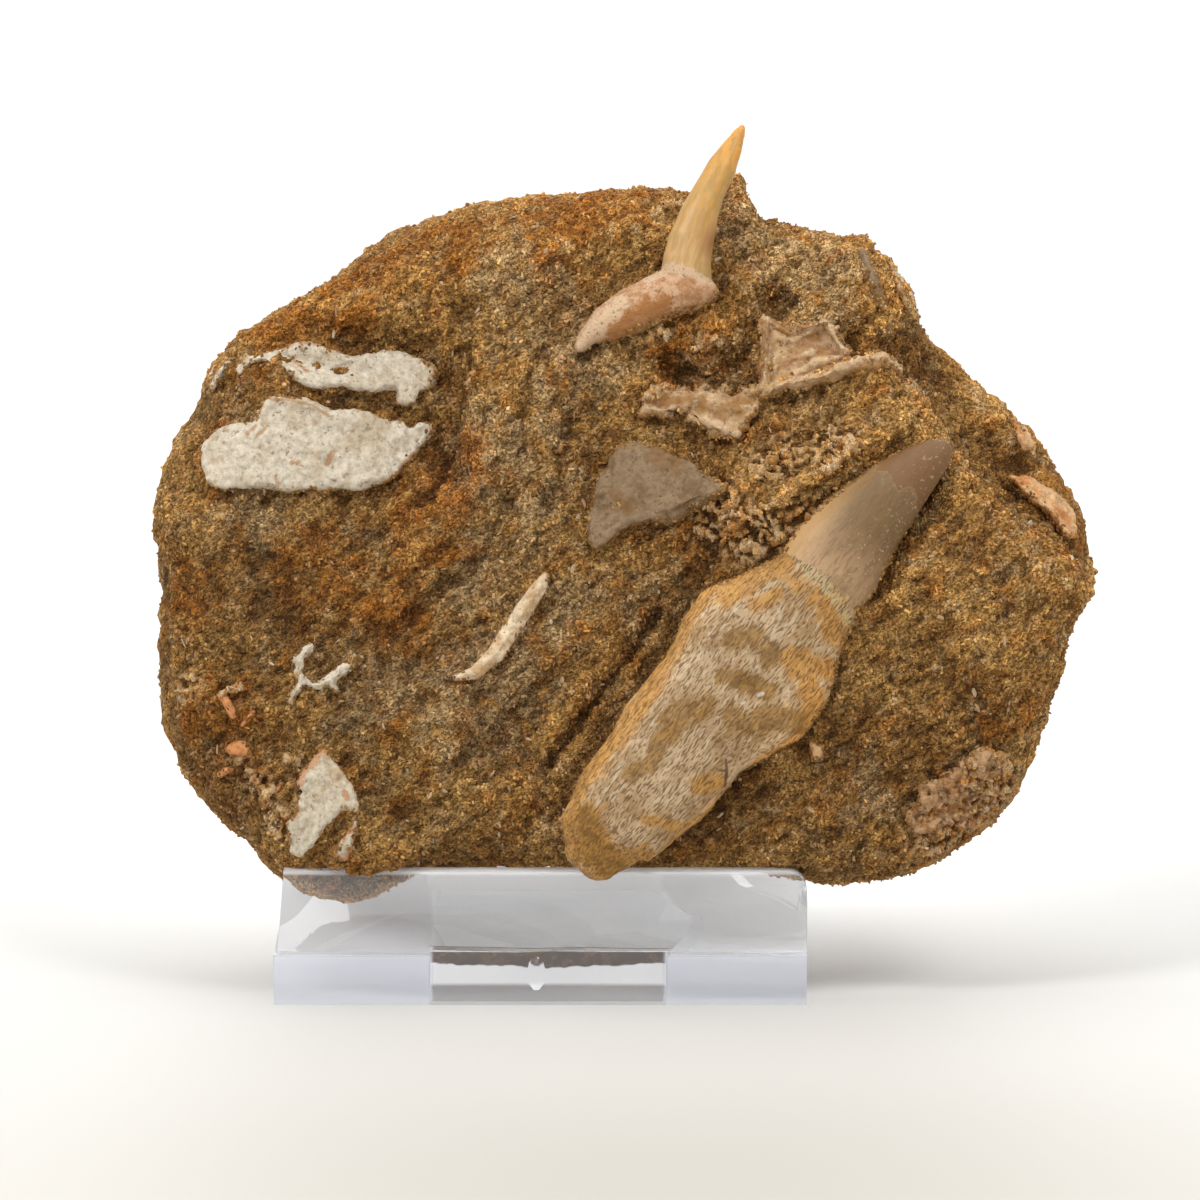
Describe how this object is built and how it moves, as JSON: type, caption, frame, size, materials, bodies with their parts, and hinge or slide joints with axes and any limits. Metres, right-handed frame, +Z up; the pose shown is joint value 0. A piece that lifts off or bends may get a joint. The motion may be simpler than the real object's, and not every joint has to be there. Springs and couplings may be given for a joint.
{
  "type": "fossil mosasaur tooth in sandstone on a display stand",
  "caption": "Fossil mosasaur tooth with root in a rough sandstone block, beside a small shark tooth and bone bits, leaning on a clear display stand.",
  "frame": {"origin": "middle of the footprint, at the height of the surface that the stand rests on", "axes": "+X to the right across the face of the block, +Y away from the viewer, +Z up"},
  "size_m": [0.0736, 0.0398, 0.0668],
  "materials": {
    "clear_plastic": "clear, polished",
    "sandstone": "coarse, sandy, matt",
    "tooth": "semi-gloss crown, matt fibrous root",
    "shark_tooth": "glossy crown, matt root",
    "chalky_bone": "chalky, pitted, matt",
    "grey_fragment": "smooth, matt",
    "cream_bone": "satin",
    "shell": "satin, layered",
    "porous_bone": "porous, matt",
    "scale": "satin",
    "splinter": "satin"
  },
  "bodies": {
    "root": {"display_stand": "clear_plastic", "matrix": "sandstone", "mosasaur_tooth": "tooth", "shark_tooth": "shark_tooth", "upper_white_bone": "chalky_bone", "lower_white_bone": "chalky_bone", "grey_fragment": "grey_fragment", "broken_bone": "cream_bone", "edge_crust": "cream_bone", "layered_shell": "shell", "orange_shell": "shell", "porous_bone": "porous_bone", "scale_plate": "scale", "small_chip": "shell", "edge_bone": "chalky_bone", "rib_splinter": "cream_bone", "spine": "grey_fragment", "scale_strip": "scale", "ring_bone": "chalky_bone", "orange_chip": "splinter", "cream_chip": "cream_bone", "crust_chip": "cream_bone", "splinter_1": "splinter", "splinter_2": "splinter", "splinter_3": "splinter", "splinter_4": "splinter", "splinter_5": "splinter"}
  },
  "joints": []
}
